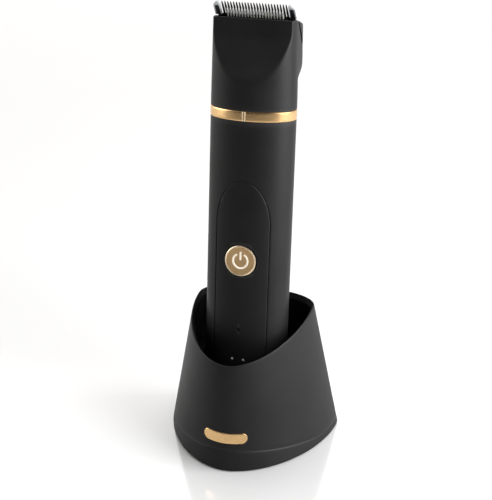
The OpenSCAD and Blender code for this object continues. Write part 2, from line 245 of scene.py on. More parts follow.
def rounded_rect(a0, a1, b0, b1, r, n=6):
    """Outline of a rectangle with equal round corners."""
    return rounded([(a0, b0, r), (a1, b0, r), (a1, b1, r), (a0, b1, r)], n)


def bar(x0, x1, y0, y1, z0, z1, to_row):
    """Plain block."""
    return prism([(x0, y0), (x1, y0), (x1, y1), (x0, y1)], to_row, z0, z1)


def front(x, l, h):
    """Row point of an (x, l) outline pushed along the handset's depth: h is y."""
    return hand(x, h, l)


# ---- dock form, the CAD outline ----
DOCK_A, DOCK_FRONT, DOCK_BACK = 40.0, 52.6, 12.0
SIDE_SLOPE, FRONT_SLOPE, BACK_SLOPE = -0.1977, -0.1257, -0.013
WIDEST_Y, WIDEST_SLOPE = 20.3, -0.029
FRONT_POWER, BACK_POWER = 1.8, 2.37
RIM_FRONT, RIM_BACK, RIM_CROWN = 51.0, 62.9, 6.5
FOOT_Z = box_mm("dock_base")[0].z
SEAM_MID, SEAM_SLOPE = 4.45, -0.19
DECK_Z = box_mm("cradle")[1].z
DOCK_WALL, BASE_WALL = 2.0, 2.2
DOCK_GROOVE = 0.3
RIM_DROP, RIM_SLANT = 0.05, 2.4
USB_HALF_WIDE, USB_HALF_TALL, USB_R = 4.8, 1.9, 1.3
DOCK_SCREWS = [(side * x, y) for x, y in ((30, 14), (20, -14)) for side in (1, -1)]
DOCK_TURNS = [2 * math.pi * i / 240 for i in range(240)]


def dock_point(t, z, inset):
    """Point of the dock's wall at turn t and height z, set in by inset."""
    s, c = math.sin(t), math.cos(t)
    power = FRONT_POWER if s < 0 else BACK_POWER
    depth = DOCK_FRONT + FRONT_SLOPE * z if s < 0 else DOCK_BACK + BACK_SLOPE * z
    return ((DOCK_A + SIDE_SLOPE * z - inset) * spow(c, 2 / power),
            WIDEST_Y + WIDEST_SLOPE * z + (depth - inset) * spow(s, 2 / power), z)


def dock_front_y(x, z, inset):
    """y of the dock's front wall at x and z."""
    w, d = DOCK_A + SIDE_SLOPE * z - inset, DOCK_FRONT + FRONT_SLOPE * z - inset
    return WIDEST_Y + WIDEST_SLOPE * z - d * (1 - (abs(x) / w) ** FRONT_POWER) ** (1 / FRONT_POWER)


def rim_z(t):
    """Height of the dock's mouth: it rises to the back, with a crown."""
    mid = (RIM_FRONT + RIM_BACK) / 2
    y0, y1 = dock_point(-math.pi / 2, mid, 0)[1], dock_point(math.pi / 2, mid, 0)[1]
    s = (dock_point(t, mid, 0)[1] - y0) / (y1 - y0)
    return RIM_FRONT + (RIM_BACK - RIM_FRONT) * s + RIM_CROWN * s * (1 - s)


def dock_ring(z, inset):
    return [dock_point(t, z, inset) for t in DOCK_TURNS]


def smooth_max(a, b, k):
    """The larger of two values, blended over the width k where they cross."""
    return max(a, b) + max(0.0, k - abs(a - b)) ** 2 / (4 * k)


def seam_z(t):
    """Height of the line where the body meets the base: highest at the front."""
    y = dock_point(t, 6.0, 0)[1]
    return smooth_max(SEAM_MID + SEAM_SLOPE * y, FOOT_Z + 2.7, 2.0)


def seam_ring(rise, inset):
    return [dock_point(t, seam_z(t) + rise, inset) for t in DOCK_TURNS]


def rim_ring(drop, inset):
    return [dock_point(t, rim_z(t) - RIM_DROP - drop, inset) for t in DOCK_TURNS]


def wall_rows(drop, inset, rise, fractions):
    """Rings between the seam, raised by rise, and the rim, lowered by drop."""
    return [[dock_point(t, (seam_z(t) + rise) * (1 - f) + (rim_z(t) - drop) * f, inset) for t in DOCK_TURNS]
            for f in fractions]


def make_dock_body():
    """Wall with a rounded lip that slants inwards, and the power inlet's slot."""
    lip = 0.4
    rows = [seam_ring(0, DOCK_GROOVE), seam_ring(0.12, 0.1), seam_ring(DOCK_GROOVE, 0)]
    rows += wall_rows(RIM_DROP + lip, 0, DOCK_GROOVE, steps(0, 1, 26)[1:])
    rows += [rim_ring(lip * s, lip * c) for c, s in arc(6)[1:]]
    rows += [rim_ring(0.05, lip + 0.15), rim_ring(RIM_SLANT, DOCK_WALL)]
    rows += wall_rows(RIM_DROP + RIM_SLANT, DOCK_WALL, 0, steps(1, 0, 14)[1:])
    obj = mesh_object("dock_body", [loop_mesh(rows, wrap=True)])
    lo, hi = box_mm("usb_inlet")
    mid = (lo.z + hi.z) / 2
    slot = rounded_rect(-USB_HALF_WIDE, USB_HALF_WIDE, mid - USB_HALF_TALL, mid + USB_HALF_TALL, USB_R)
    boolean(obj, [prism(slot, lambda a, b, h: (a, h, b), 20, 40)])
    piece(obj, "dock", "dock_black", ["dock_shell"])


def make_dock_liner():
    """Inner face of the dock's mouth, sloped at the rim, its top laid over the lip, in a darker and duller
    black than the shell: painted shade inside the mouth.
    """
    inner, outer, low = DOCK_WALL + 0.14, DOCK_WALL - 0.4, DECK_Z - 1
    rows = [rim_ring(0.22, 0.5), rim_ring(0.0, 0.42), rim_ring(-0.03, 0.5), rim_ring(RIM_SLANT - 0.1, inner)]
    rows += [[dock_point(t, low + (rim_z(t) - RIM_SLANT - 0.4 - low) * f, inner) for t in DOCK_TURNS]
             for f in steps(1, 0, 8)]
    rows += [dock_ring(low, outer), rim_ring(RIM_SLANT + 0.8, outer)]
    obj = mesh_object("dock_liner", [loop_mesh(rows, wrap=True)])
    piece(obj, "dock", "dock_black", look="well_black")


def make_dock_skirt():
    """Base under the seam, closed below, with countersunk screw holes."""
    r, hole, head, head_z = 0.45, 1.3, 2.6, 3.2
    rows = [dock_ring(FOOT_Z, 4.0)]
    rows += [dock_ring(FOOT_Z + r * s, r * c) for c, s in reversed(arc(5))]
    rows += [[dock_point(t, (FOOT_Z + r) * (1 - f) + (seam_z(t) - DOCK_GROOVE) * f, 0) for t in DOCK_TURNS]
             for f in steps(0, 1, 6)[1:]]
    rows += [seam_ring(-0.12, 0.1), seam_ring(0, DOCK_GROOVE), seam_ring(0, BASE_WALL)]
    rows.append(dock_ring(FOOT_Z + 2, BASE_WALL))
    obj = mesh_object("dock_skirt", [loop_mesh(rows)])
    profile = [(head, FOOT_Z - 1), (head, head_z), (hole, head_z), (hole, 12)]
    boolean(obj, [lathe(profile, lambda a, b, h: (x + a, y + b, h), 32) for x, y in DOCK_SCREWS])
    piece(obj, "dock", "dock_black", ["dock_base"])


def make_gold_pill():
    """Slightly domed pill that follows the dock's front wall."""
    lo, hi = box_mm("dock_badge")
    z0, r = (lo.z + hi.z) / 2, (hi.z - lo.z) / 2
    half, proud, edge_rise, depth = hi.x - r, 0.12, 0.1, 0.15
    xs = [-half - r * math.cos(t) for t in steps(0, math.pi / 2, 10)]
    xs += steps(-half, half, 16)[1:-1] + [half + r * math.cos(t) for t in steps(math.pi / 2, 0, 10)]
    rows = []
    for x in xs:
        past_end = max(0.0, abs(x) - half)
        tall = math.sqrt(max(0.0, r * r - past_end ** 2))
        edge = (past_end / r) ** 6
        row = []
        for q in steps(-1, 1, 16):
            rise = proud * (1 - max(abs(q) ** 5 if tall > 0.01 else 1, edge) ** 2)
            z = z0 + tall * q
            row.append((x, dock_front_y(x, z, -rise - edge_rise), z))
        row += [(x, dock_front_y(x, z0 + tall * q, depth), z0 + tall * q) for q in steps(1, -1, 8)]
        rows.append(row)
    obj = mesh_object("gold_pill", [loop_mesh(rows)])
    piece(obj, "dock", "rose_gold", ["dock_badge"], 60)


# ---- handset form, the CAD outline ----
BODY_A, BODY_B = 19.0, 13.5
CAP_LOW, CAP_TOP = 28.0, 32.0
RING_LOW, RING_TOP = 152.0, 156.3
INNER_A, INNER_B = 17.1, 11.6
HANDLE_GROOVE = 0.22
PANEL_HALF, PANEL_TIP, PANEL_GAP, SHOULDER = 12.0, 126.0, 0.15, 105.6
BUTTON_L, LENS_L, LIGHTS_L, LIGHTS_X = 90.2, 58.0, 43.8, 2.55
BUTTON_HOLE, LENS_HOLE, LIGHT_HOLE = 7.5, 1.05, 0.65
PAD_X, PAD_R, CAP_SCREW_X, CAP_SCREW_R = 6.0, 2.0, 12.5, 1.0
CUP_FLOOR, PIN_R = CAP_LOW - 0.3, 1.2


def oval(t, l, inset=0.0):
    """Point of the handset's oval, t from the front centre towards +X."""
    return hand((BODY_A - inset) * math.sin(t), -(BODY_B - inset) * math.cos(t), l)


def oval_ring(l, inset, n=192):
    return [oval(2 * math.pi * i / n, l, inset) for i in range(n)]


def oval_front(x, l, depth):
    """Point of the oval's front half at x, set in by depth."""
    a = BODY_A - depth
    return hand(x, -(BODY_B - depth) * math.sqrt(max(0.0, 1 - (x / a) ** 2)), l)


def upright_holes(holes, l0, l1):
    """Tools for pairs of round holes along the handset's axis, from (radius, x) pairs."""
    return [lathe([(r, l0), (r, l1)], lambda a, b, h: hand(a + side * x, b, h), 32)
            for r, x in holes for side in (1, -1)]


def front_holes(button_r, y0, y1, n_button, n_lens):
    """Tools for the holes of the button, the indicator and the two charge lights."""
    outlines = [circle(button_r, n_button, 0, BUTTON_L), circle(LENS_HOLE, n_lens, 0, LENS_L)]
    outlines += [circle(LIGHT_HOLE, 24, x, LIGHTS_L) for x in (LIGHTS_X, -LIGHTS_X)]
    return [prism(outline, front, y0, y1) for outline in outlines]


def make_well():
    """Deck round the handset, with the cup that it stands in."""
    clear, wall, lip, out = 0.5, 1.8, 0.9, DOCK_WALL + 0.3

    def level(t, grow, z):
        """Where the cup's oval meets the height z."""
        x, y = (BODY_A + grow) * math.cos(t), (BODY_B + grow) * math.sin(t)
        return hand(x, y, (z - ORIGIN.z + y * math.sin(TILT)) / math.cos(TILT))

    def ring(grow, l):
        return [hand((BODY_A + grow) * math.cos(t), (BODY_B + grow) * math.sin(t), l) for t in DOCK_TURNS]

    deck = dock_ring(DECK_Z, out)
    mouth = [level(t, clear + lip, DECK_Z) for t in DOCK_TURNS]
    rows = [ring(clear + wall - 0.5, CUP_FLOOR - 2), ring(clear + wall, CUP_FLOOR - 1.5),
            ring(clear + wall, 35.0), [level(t, clear + wall, DECK_Z - 2) for t in DOCK_TURNS],
            dock_ring(DECK_Z - 2, out), deck]
    rows += [[tuple(a[k] + (b[k] - a[k]) * f for k in range(3)) for a, b in zip(deck, mouth)]
             for f in (0.35, 0.7)]
    rows += [[level(t, clear + lip * s, DECK_Z - lip * c) for t in DOCK_TURNS] for c, s in arc(6)]
    rows += [ring(clear, 37.0), ring(clear, 34.0), ring(clear, CUP_FLOOR + 0.5), ring(clear - 0.5, CUP_FLOOR)]
    obj = mesh_object("dock_well", [loop_mesh(rows)])
    lo, hi = box_mm("contact_pin_right")
    boolean(obj, upright_holes(((PIN_R, (lo.x + hi.x) / 2),), CUP_FLOOR - 3, CUP_FLOOR + 1))
    # the cradle takes the darker, duller black: painted shade in the well
    piece(obj, "dock", "well_black", ["cradle"])


def arch_rows(half, tip, low, n_low, n_arch):
    """(x, l, nx, nl) up one side of the panel's outline, n being the outward direction."""
    rows = [(half, l, 1.0, 0.0) for l in steps(low, SHOULDER, n_low)[:-1]]
    tall = tip - SHOULDER
    for t in steps(0, math.pi / 2, n_arch):
        nx, nl = tall * math.cos(t), half * math.sin(t)
        d = math.hypot(nx, nl)
        x = half * math.cos(t) if t < math.pi / 2 - 1e-6 else 0.0
        rows.append((x, SHOULDER + tall * math.sin(t), nx / d if x else 0.0, nl / d))
    return rows


def make_handle_body():
    """Oval tube with an arched window for the front panel. Each row starts beside the window and runs round
    the back, then crosses the window's recess, or above the arch stays at the front centre."""
    r, deep, n_out, n_in = 0.38, 1.25, 150, 28
    half = PANEL_HALF + PANEL_GAP
    window = arch_rows(half, PANEL_TIP + PANEL_GAP, CAP_TOP, 22, 30)
    rows = [(x, l, nx, nl, 0.0) for x, l, nx, nl in window]
    rows = [rows[0][:4] + (HANDLE_GROOVE,), (half, CAP_TOP + HANDLE_GROOVE, 1.0, 0.0, 0.0)] + rows[1:]
    top = window[-1][1] + r
    rows += [(0.0, l, 0.0, 0.0, 0.0) for l in steps(top + 0.5, RING_LOW - HANDLE_GROOVE, 9)]
    rows.append((0.0, RING_LOW, 0.0, 0.0, HANDLE_GROOVE))
    edge = [(r * s, r * c) for c, s in arc(4)] + [(0.0, deep)]
    outer, inner = [], []
    for x, l, nx, nl, inset in rows:
        above = nx == nl == 0.0
        t0 = math.asin((x + r * nx) / BODY_A)
        l0 = l + r * nl
        turns = steps(t0, 2 * math.pi - t0, n_out)
        across = [(-(x + off * nx), l + off * nl, max(depth, inset), -t0) for off, depth in edge]
        across += [(x * q, l, deep, t0 * q) for q in steps(-1, 1, n_in)[1:-1]]
        across += [(x + off * nx, l + off * nl, max(depth, inset), t0) for off, depth in reversed(edge)]
        loop = [oval(t, l0, inset) for t in turns]
        loop += [oval(0, l0, inset) if above else oval_front(a, b, depth) for a, b, depth, _ in across]
        outer.append(loop)
        turns += [t for *_, t in across]
        inner.append([hand(INNER_A * math.sin(t), -INNER_B * math.cos(t), l0) for t in turns])
    obj = mesh_object("handle_body", [loop_mesh(outer + inner[::-1], wrap=True)])
    boolean(obj, front_holes(BUTTON_HOLE + 0.2, -12.9, -8, 64, 24))
    piece(obj, "handset", "soft_black", ["handle_shell"])


def make_panel():
    """Front panel with a rounded edge, flush with the handle's oval."""
    r, thick, n = 0.3, 1.2, 48
    edge = [(-r * s, r * c) for c, s in arc(4)]
    rows = []
    for x, l, nx, nl in arch_rows(PANEL_HALF, PANEL_TIP, CAP_TOP, 22, 30):
        loop = [oval_front((x - r * nx) * q, l - r * nl, 0) for q in steps(-1, 1, n)]
        loop += [oval_front(x + off * nx, l + off * nl, d) for off, d in edge[1:]]
        loop += [oval_front(x * q, l, thick) for q in steps(1, -1, n)]
        loop += [oval_front(-(x + off * nx), l + off * nl, d) for off, d in edge[:0:-1]]
        rows.append(loop)
    obj = mesh_object("front_panel_skin", [loop_mesh(rows)])
    boolean(obj, front_holes(BUTTON_HOLE, -20, -10, 96, 32))
    piece(obj, "handset", "panel_black", ["front_panel"])


def make_end_cap():
    """Bottom cap with holes for the charge pads and the screws."""
    r = 0.6
    rows = [oval_ring(CAP_LOW, 6)]
    rows += [oval_ring(CAP_LOW + r * s, r * c) for c, s in reversed(arc(5))]
    rows += [oval_ring(l, inset) for l, inset in (
        (CAP_TOP - HANDLE_GROOVE, 0), (CAP_TOP, HANDLE_GROOVE), (CAP_TOP, 2.0), (CAP_TOP + 5, 2.0),
        (CAP_TOP + 5, 3.8), (CAP_LOW + 2, 3.8))]
    obj = mesh_object("end_cap", [loop_mesh(rows)])
    boolean(obj, upright_holes(((PAD_R, PAD_X), (CAP_SCREW_R, CAP_SCREW_X)), CAP_LOW - 1, CAP_LOW + 4))
    piece(obj, "handset", "soft_black", ["bottom_cap"])


def make_gold_ring():
    """Trim ring between handle and head, slightly proud, with rounded edges."""
    profile = [(0.55, 0.0), (0.12, 0.02), (-0.02, 0.12), (-0.1, 0.34), (-0.12, 0.6)]
    tall = RING_TOP - RING_LOW
    rows = [oval_ring(RING_LOW + z, d) for d, z in profile]
    rows += [oval_ring(RING_LOW + z, -0.12) for z in steps(0.6, tall - 0.6, 4)[1:-1]]
    rows += [oval_ring(RING_TOP - z, d) for d, z in reversed(profile)]
    rows += [oval_ring(RING_TOP, 2.2), oval_ring(RING_LOW, 2.2)]
    obj = mesh_object("gold_ring", [loop_mesh(rows, wrap=True)])
    piece(obj, "handset", "rose_gold", ["trim_ring"], 40)


def bead(path, half, y, tall, to_row):
    """Raised half-round bead along a closed path of (x, l) points; y is the surface it stands on."""
    rows = []
    n = len(path)
    for i, p in enumerate(path):
        d = (Vector(path[(i + 1) % n]) - Vector(path[i - 1])).normalized()
        row = []
        for k in range(7):
            t = math.pi * k / 6
            a = half * math.cos(t)
            row.append(to_row(p[0] + d.y * a, p[1] - d.x * a, y - tall * math.sin(t)))
        row += [to_row(p[0] - d.y * half, p[1] + d.x * half, y + 0.3),
                to_row(p[0] + d.y * half, p[1] - d.x * half, y + 0.3)]
        rows.append(row)
    return loop_mesh(rows, wrap=True)


def make_ring_index():
    """Raised frame on the ring's front that marks where the head locks."""
    half = 0.24
    x0, x1, l0, l1 = -1.1 + half, 0.4 - half, RING_LOW + 0.06 + half, RING_TOP - 0.06 - half
    path = rounded_rect(x0, x1, l0, l1, 0.2, 5)
    obj = mesh_object("ring_index", [bead(path, half, -BODY_B - 0.1, 0.36, front)])
    # paler copy of the ring's gold: painted highlight on the frame's edges
    piece(obj, "handset", "rose_gold", angle=60, look="gold_painted_highlight")


# ---- head form, the CAD outline ----
HEAD_TOP, HEAD_TOP_A, BEVEL_LOW = 194.2, 18.3, 168.5
BOX_LOW, BOX_HIGH = 169.0, 175.5
BEVEL_TURN_L, BEVEL_TURN_Y, TOP_SLOPE = 187.5, -5.8, 0.3 / 27.5
HEAD_WALL, HINGE_Y, HINGE_L = 1.8, 11.6, 173.2


def part_way(v, low, high):
    """How far v is from low to high, from 0 to 1."""
    return min(1.0, max(0.0, (v - low) / (high - low)))


def head_sizes(l, inset):
    """Half width, depth in front and behind, and the front's and back's powers of the head's section."""
    s = part_way(l, RING_TOP + 4, HEAD_TOP)
    q = part_way(l, BOX_LOW, BOX_HIGH)
    k = q * q * (3 - 2 * q)
    return (BODY_A + (HEAD_TOP_A - BODY_A) * s - inset, BODY_B - inset, BODY_B + 0.5 * k - inset,
            2 + 0.4 * s, 2 + 4 * k)


def head_xy(t, l, inset):
    """Point of the head's section before the bevel, t from the front centre towards +X."""
    w, fd, bd, nf, nb = head_sizes(l, inset)
    c, s = math.cos(t), math.sin(t)
    n, d = (nf, fd) if c > 0 else (nb, bd)
    return w * spow(s, 2 / n), -d * spow(c, 2 / n)


def bevel_y(l, inset=0.0):
    """Front bevel: a long slope, then nearly upright."""
    turn_y, past = BEVEL_TURN_Y + inset, l - BEVEL_TURN_L
    slope = (turn_y + BODY_B - inset) / (BEVEL_TURN_L - BEVEL_LOW - inset)
    return -smooth_max(-(turn_y + slope * past), -(turn_y + TOP_SLOPE * past), 0.8)


def crease_turn(l):
    """Turn angle at which the bevel meets the head's oval."""
    _, depth, _, power, _ = head_sizes(l, 0)
    y = -bevel_y(l)
    return 0.0 if y >= depth else math.acos((y / depth) ** (power / 2))


def head_loop(l, inset, round_k=0.9, n_flat=26, n_side=84):
    """Ring round the head at height l, with points close together at the bevel's crease."""
    tc = crease_turn(l) if inset < 1 else 0.0
    half = [tc * (1 - (1 - u) ** 1.5) for u in steps(0, 1, n_flat)]
    half += [tc + (math.pi - tc) * v ** 1.25 for v in steps(0, 1, n_side)[1:]]
    loop = []
    for t in half[:-1] + [2 * math.pi - t for t in half[:0:-1]]:
        x, y = head_xy(t, l, inset)
        loop.append(hand(x, smooth_max(y, bevel_y(l, inset), round_k), l))
    return loop


def make_head_body():
    """Bevelled head, hollow, open above for the cutter and cut away behind for the rear cover."""
    r, groove, under_bevel = 0.35, 0.25, BEVEL_LOW - 1.2
    rows = [head_loop(RING_TOP, groove)]
    rows += [head_loop(l, 0) for l in steps(RING_TOP + groove, under_bevel, 9)]
    rows += [head_loop(under_bevel + (BEVEL_TURN_L - under_bevel) * u ** 1.6, 0) for u in steps(0, 1, 40)[1:]]
    rows += [head_loop(l, 0) for l in steps(BEVEL_TURN_L, HEAD_TOP - r, 8)[1:]]
    rows += [head_loop(HEAD_TOP - r * s, r * c) for c, s in arc(4)[1:]]
    obj = mesh_object("head_body", [loop_mesh(rows)])
    levels = [RING_TOP - 1] + steps(BEVEL_LOW - 2, 186, 24)
    levels += [BEVEL_TURN_L, 190, HEAD_TOP - 0.01, HEAD_TOP + 1]
    hollow = [head_loop(l, HEAD_WALL, 0.5, 2, 60) for l in levels]
    boolean(obj, [loop_mesh(hollow)])
    # (y, l) outlines of the cutter's pocket and of all that lies behind the rear cover's seat
    pocket = [(-3.7, HEAD_TOP - 1.9), (0.5, HEAD_TOP - 1.9), (0.5, HEAD_TOP + 3), (-3.7, HEAD_TOP + 3)]
    boolean(obj, [side_prism(pocket, 16.2)])
    seat = [(-0.6, 194.2), (13.2, 174.1), (30, 174.1), (30, 215), (-14.88, 215)]
    boolean(obj, [side_prism(seat, 30)])
    boolean(obj, [side_prism(circle(2.6, 48, HINGE_Y, HINGE_L), 10.3)])
    boolean(obj, [side_prism(circle(0.77, 32, HINGE_Y, HINGE_L), 11.7)])
    piece(obj, "handset", "soft_black", ["head_shell"])


def make_rear_cover():
    """Cover that carries the blades and swings back on the hinge pin."""
    rows = [head_loop(l, 0.05, 0.9, 2, 110) for l in [170, 172, 173] + steps(174, 194.2, 30) + [196]]
    obj = mesh_object("rear_cover", [loop_mesh(rows)])
    outline = rounded([(12.72, 175.3, 0), (0, 193.8, 0), (2.4, 193.5, 1.0), (8.6, 191.8, 3.0),
                       (12.6, 184, 3.0), (14.1, 177.5, 1.5), (14.1, 175.3, 0)])
    boolean(obj, [side_prism(outline, 30)], "INTERSECT")
    bevel(obj, 0.45, 3, 38)
    boolean(obj, [bar(-30, 30, -0.3, 29.7, -0.92, 19.1, blade)])
    knuckle = rounded([(9.7, 171.2, 1.9), (13.5, 171.2, 1.9), (13.5, 177.2, 0), (11.6, 177.2, 0),
                       (9.7, 175.2, 1.9)])
    boolean(obj, [side_prism(knuckle, 10)], "UNION")
    boolean(obj, [side_prism(circle(0.8, 32, HINGE_Y, HINGE_L), 20)])
    boolean(obj, blade_screw_holes(1.06, 1))
    piece(obj, "blade_module", "soft_black", ["blade_carrier"])


# ---- blades ----
PITCH, COMB_T = 1.27, 0.9
COMB_TEETH, CUTTER_TEETH = 23, 20
BLADE_SCREW_X, BLADE_SCREW_U = 9, 3


def blade_screw_holes(r, v1):
    return [prism(circle(r, 32, x, BLADE_SCREW_U), blade, -4, v1) for x in (BLADE_SCREW_X, -BLADE_SCREW_X)]


def tooth(x, stations):
    """Tapered tooth: stations of (u, half width, v low, v high), with chamfered corners."""
    rows = []
    for u, w, v0, v1 in stations:
        c = min(w, (v1 - v0) / 2) * 0.45
        rows.append([blade(x + a, u, b) for a, b in
                     ((-w + c, v0), (w - c, v0), (w, v0 + c), (w, v1 - c), (w - c, v1), (-w + c, v1),
                      (-w, v1 - c), (-w, v0 + c))])
    return loop_mesh(rows)


def teeth_row(count, stations):
    """Equal teeth a pitch apart, centred on the blade."""
    return [tooth((k - (count - 1) / 2) * PITCH, stations) for k in range(count)]


def make_comb():
    """Fixed plate with long teeth. Its stations are half width and lowest and highest v at each u."""
    tip, root = 21.2, 13.8
    obj = mesh_object("comb_plate", [bar(-17, 17, 0, root, -COMB_T, 0, blade)])
    bevel(obj, 0.1, 2)
    stations = [(root - 0.5, 0.46, -0.88, -0.02), (root + 0.2, 0.46, -0.88, -0.02),
                (root + 2.4, 0.45, -0.86, -0.03), (root + 4.8, 0.39, -0.8, -0.06),
                (tip - 0.9, 0.28, -0.68, -0.14), (tip - 0.2, 0.2, -0.6, -0.22), (tip, 0.1, -0.54, -0.3)]
    boolean(obj, teeth_row(COMB_TEETH, stations), "UNION")
    boolean(obj, blade_screw_holes(1.1, 3))
    piece(obj, "blade_module", "blade_steel", ["comb_blade"])


def make_cutter():
    """Dark sliding plate with pale teeth that show between the comb's."""
    low, high, root, tip = 0.05, 1.25, 14.0, 18.1
    plate = mesh_object("cutter_plate", [bar(-13.6, 13.6, 6.5, root, low, high, blade)])
    bevel(plate, 0.12, 2)
    piece(plate, "cutter", "blade_steel", ["moving_cutter"])
    stations = [(root - 0.4, 0.27, low + 0.04, high - 0.06), (root + 0.4, 0.27, low + 0.04, high - 0.1),
                (root + 2.2, 0.24, low + 0.04, high - 0.3), (tip - 0.7, 0.2, low + 0.05, high - 0.5),
                (tip - 0.15, 0.16, low + 0.07, high - 0.62), (tip, 0.1, low + 0.12, high - 0.74)]
    piece(mesh_object("cutter_teeth", teeth_row(CUTTER_TEETH, stations)), "cutter", "cutter_ceramic")


def make_guard(side, name, stands_for):
    """Rounded end guard beside the teeth, with a dark inlay on its face."""
    x0, x1, u0, u1, r, turn = 14.95, 18.0, 13.87, 18.7, 2.35, 3.0
    outline = [(x0, u0), (x1, u0)]
    outline += [(x1 - r + r * math.cos(t), u1 + r * math.sin(t)) for t in steps(0, turn, 16)
                if x1 - r + r * math.cos(t) > x0 + 0.05]
    outline.append((x0, u1 + math.sqrt(r * r - (x0 - x1 + r) ** 2)))
    obj = mesh_object(name, [prism([(side * a, b) for a, b in outline], blade, -COMB_T, 0.5)])
    bevel(obj, 0.3, 3)
    inset = rounded([(x0 + 0.45, u0 + 0.3, 0.2), (x1 - 0.7, u0 + 0.3, 0.2), (x1 - 0.7, u1 + 0.9, 0.9),
                     (x0 + 0.45, u1 + 0.9, 0.6)], 5)
    inlay = mesh_object(name + "_inlay", [prism([(side * a, b) for a, b in inset], blade, 0.2, 0.56)])
    bevel(inlay, 0.08, 2)
    piece(inlay, "blade_module", "panel_black")
    piece(obj, "blade_module", "guard_grey", stands_for, 40)


# ---- button and lights ----
def pressed(a, b, h):
    """Turning frame of the button: h is the handset's y, a and b lie across it."""
    return hand(a, h, BUTTON_L + b)


def make_button():
    """Dished disc on a stem, with a raised bezel in a paler copy of the gold, which paints a highlight on it.
    """
    y, r, rim, stem, stem_y = -BODY_B - 0.25, 6.95, 0.6, 2, -11.2
    face = r - rim
    profile = [(0.01, y + 0.22)] + [(q, y + 0.22 - 0.1 * (q / face) ** 2) for q in steps(0, face, 10)[1:]]
    profile += [(face, y + 0.5), (r - 0.5, y + 0.6), (r - 0.5, y + 1.2), (stem, y + 1.2), (stem, stem_y),
                (0.01, stem_y)]
    disc = mesh_object("button_disc", [lathe(profile, pressed, 128)])
    piece(disc, "button", "button_gold", ["power_button"], 40)
    c = r - rim / 2
    ring = [(c - rim / 2, y + 0.9), (c - rim / 2, y + 0.12), (c - rim / 2 + 0.1, y + 0.03), (c, y),
            (c + rim / 2 - 0.14, y + 0.05), (c + rim / 2, y + 0.2), (c + rim / 2, y + 1.2),
            (c - 0.15, y + 1.2), (c - 0.15, y + 0.9)]
    rows = [[pressed(a, b, h) for a, b in circle(q, 128)] for q, h in ring]
    bezel = mesh_object("button_bezel", [loop_mesh(rows, wrap=True)])
    # bezel in the paler copy of the gold: painted highlight
    piece(bezel, "button", "rose_gold", angle=40, look="gold_painted_highlight")


def make_symbol():
    """Power mark: an open ring and a bar, each with rounded ends."""
    y, r, w, gap = -BODY_B - 0.02, 3.3, 0.42, math.radians(35)
    ring = [(r * math.sin(t), r * math.cos(t)) for t in steps(gap, 2 * math.pi - gap, 56)]
    stroke = [(0.0, b) for b in steps(0.87, 3.85, 8)]
    symbol = mesh_object("button_symbol", [ribbon(line, w, y, 0.2) for line in (ring, stroke)])
    piece(symbol, "button", "symbol_cream", ["power_symbol"], 40)


def ribbon(line, w, y, tall):
    """Raised stroke along a line in (x, l), with round ends and softened edges."""
    rows = []
    n = len(line)

    def station(p, direction, half):
        side = Vector((direction.y, -direction.x))
        cut = ((-half, 0.3), (-half, -tall * 0.6), (-half * 0.8, -tall), (half * 0.8, -tall),
               (half, -tall * 0.6), (half, 0.3))
        return [pressed(p[0] + side.x * a, p[1] + side.y * a, y + h) for a, h in cut]

    ends = [(math.cos(t), math.sin(t)) for t in steps(0, math.pi / 2, 5)]
    first = (Vector(line[1]) - Vector(line[0])).normalized()
    last = (Vector(line[-1]) - Vector(line[-2])).normalized()
    for c, s in ends[:-1]:
        p = Vector(line[0]) - first * (w * c)
        rows.append(station(p, first, max(w * s, 0.02)))
    for i in range(n):
        d = (Vector(line[min(n - 1, i + 1)]) - Vector(line[max(0, i - 1)])).normalized()
        rows.append(station(line[i], d, w))
    for c, s in reversed(ends[:-1]):
        p = Vector(line[-1]) + last * (w * c)
        rows.append(station(p, last, max(w * s, 0.02)))
    return loop_mesh(rows)


def make_dome(name, x, l, r, y, slot, stands_for):
    """Small lens with a domed face, down a light guide."""
    profile = [(0.01, y)] + [(r * q, y + 0.16 * q ** 3) for q in steps(0, 1, 6)[1:]]
    profile += [(r, -9.4), (0.01, -9.4)]
    obj = mesh_object(name, [lathe(profile, lambda a, b, h: hand(x + a, h, l + b), 40)])
    piece(obj, "handset", slot, stands_for, 40)


# ---- materials ----
def nodes_of(name):
    """New material with its node tree and its shader."""
    mat = bpy.data.materials.new(name)
    mat.use_nodes = True
    tree = mat.node_tree
    return mat, tree, tree.nodes["Principled BSDF"]


def add(tree, kind, **values):
    node = tree.nodes.new(kind)
    for key, value in values.items():
        setattr(node, key, value)
    return node


def place(tree, scale=(1, 1, 1), turn=(0, 0, 0)):
    """Object coordinates in metres, scaled to the detail's size."""
    coord = add(tree, "ShaderNodeTexCoord")
    mapping = add(tree, "ShaderNodeMapping")
    mapping.inputs["Scale"].default_value = scale
    mapping.inputs["Rotation"].default_value = turn
    tree.links.new(coord.outputs["Object"], mapping.inputs["Vector"])
    return mapping.outputs["Vector"]


def noise(tree, vector, scale, detail=3.0, rough=0.5):
    node = add(tree, "ShaderNodeTexNoise")
    node.inputs["Scale"].default_value = scale
    node.inputs["Detail"].default_value = detail
    node.inputs["Roughness"].default_value = rough
    tree.links.new(vector, node.inputs["Vector"])
    return node.outputs["Fac"]


def ranged(tree, value, low, high, from_low=0.3, from_high=0.7):
    """A value stretched from one range to low and high, held at the ends."""
    node = add(tree, "ShaderNodeMapRange")
    for key, v in (("From Min", from_low), ("From Max", from_high), ("To Min", low), ("To Max", high)):
        node.inputs[key].default_value = v
    tree.links.new(value, node.inputs["Value"])
    return node.outputs["Result"]


def mixed(tree, fac, a, b):
    """Colour between a, a colour or a socket, and the colour b."""
    node = add(tree, "ShaderNodeMix", data_type="RGBA")
    if isinstance(a, tuple):
        node.inputs["A"].default_value = (*a, 1)
    else:
        tree.links.new(a, node.inputs["A"])
    node.inputs["B"].default_value = (*b, 1)
    tree.links.new(fac, node.inputs["Factor"])
    return node.outputs["Result"]


